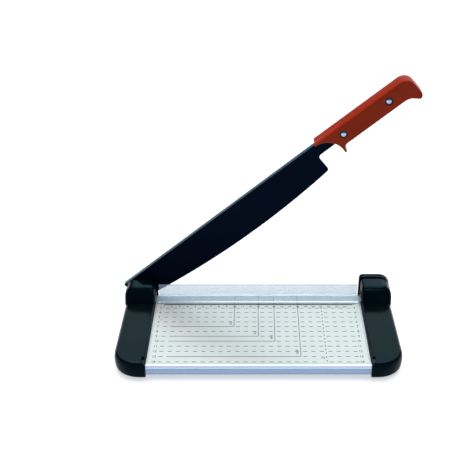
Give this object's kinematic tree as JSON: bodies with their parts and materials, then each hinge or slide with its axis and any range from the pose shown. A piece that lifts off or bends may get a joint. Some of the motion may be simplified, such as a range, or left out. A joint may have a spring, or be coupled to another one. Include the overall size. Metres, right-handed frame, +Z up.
{
  "type": "guillotine paper cutter",
  "caption": "Small guillotine paper cutter with a ruled metal bed between two dark end caps, a clear sprung paper clamp, and a curved lever blade with a red handle, stored raised.",
  "frame": {"origin": "on the table, under the middle of the cutter's bounding box", "axes": "+X along the cut line, from the blade's pivot towards its handle; +Y away from the user, from the bed towards the cut line; +Z up"},
  "size_m": [0.3602, 0.1638, 0.3144],
  "materials": {
    "aluminium": "satin anodised extrusion",
    "scale_print": "pale satin foil with a grey printed scale",
    "steel": "plain zinc-plated or ground steel",
    "cap_plastic": "dark green-grey moulded plastic, fine satin grain",
    "base_plate": "black moulded plastic",
    "rubber": "black rubber",
    "blade_black": "blue-black coating, ground bright along the cutting edge",
    "handle_red": "glossy brown-red plastic",
    "chrome": "bright plated screw heads",
    "clear_plastic": "clear, faintly blue plastic",
    "nylon": "natural nylon"
  },
  "bodies": {
    "base": {"bed": "aluminium", "scale_foil": "scale_print", "fixed_blade": "steel", "fixed_blade_screw_1": "steel", "fixed_blade_screw_2": "steel", "fixed_blade_screw_3": "steel", "left_end_cap": "cap_plastic", "right_end_cap": "cap_plastic", "left_bottom_plate": "base_plate", "right_bottom_plate": "base_plate", "left_front_foot": "rubber", "left_rear_foot": "rubber", "right_front_foot": "rubber", "right_rear_foot": "rubber", "left_front_foot_screw": "steel", "left_rear_foot_screw": "steel", "right_front_foot_screw": "steel", "right_rear_foot_screw": "steel", "left_front_cap_screw": "steel", "left_rear_cap_screw": "steel", "right_front_cap_screw": "steel", "right_rear_cap_screw": "steel", "pivot_bolt": "steel", "pivot_nut": "steel", "pivot_nut_washer": "steel", "pivot_front_washer": "steel", "pivot_spring_washer": "steel", "pivot_rear_washer": "steel", "left_clamp_spring": "steel", "right_clamp_spring": "steel", "left_guide_pin": "steel", "right_guide_pin": "steel"},
    "lever": {"blade": "blade_black", "pivot_bush": "nylon", "handle_front_scale": "handle_red", "handle_rear_scale": "handle_red", "handle_washer_1": "base_plate", "handle_washer_2": "base_plate", "handle_screw_1": "chrome", "handle_screw_2": "chrome", "handle_nut_1": "steel", "handle_nut_2": "steel"},
    "clamp": {"paper_clamp": "clear_plastic", "left_clamp_block": "base_plate", "right_clamp_block": "base_plate"}
  },
  "joints": [
    {"name": "lever_hinge", "type": "hinge", "parent": "base", "child": "lever", "pos_m": [-0.1572, 0.0703, 0.0237], "axis": [0, -1, 0], "range_deg": [-39.4, 20]},
    {"name": "clamp_slide", "type": "slide", "parent": "base", "child": "clamp", "axis": [0, 0, 1], "range_m": [0, 0.002], "stiffness_N_per_m": 300, "springref_m": -0.003, "deforming": ["left_clamp_spring", "right_clamp_spring"]}
  ]
}
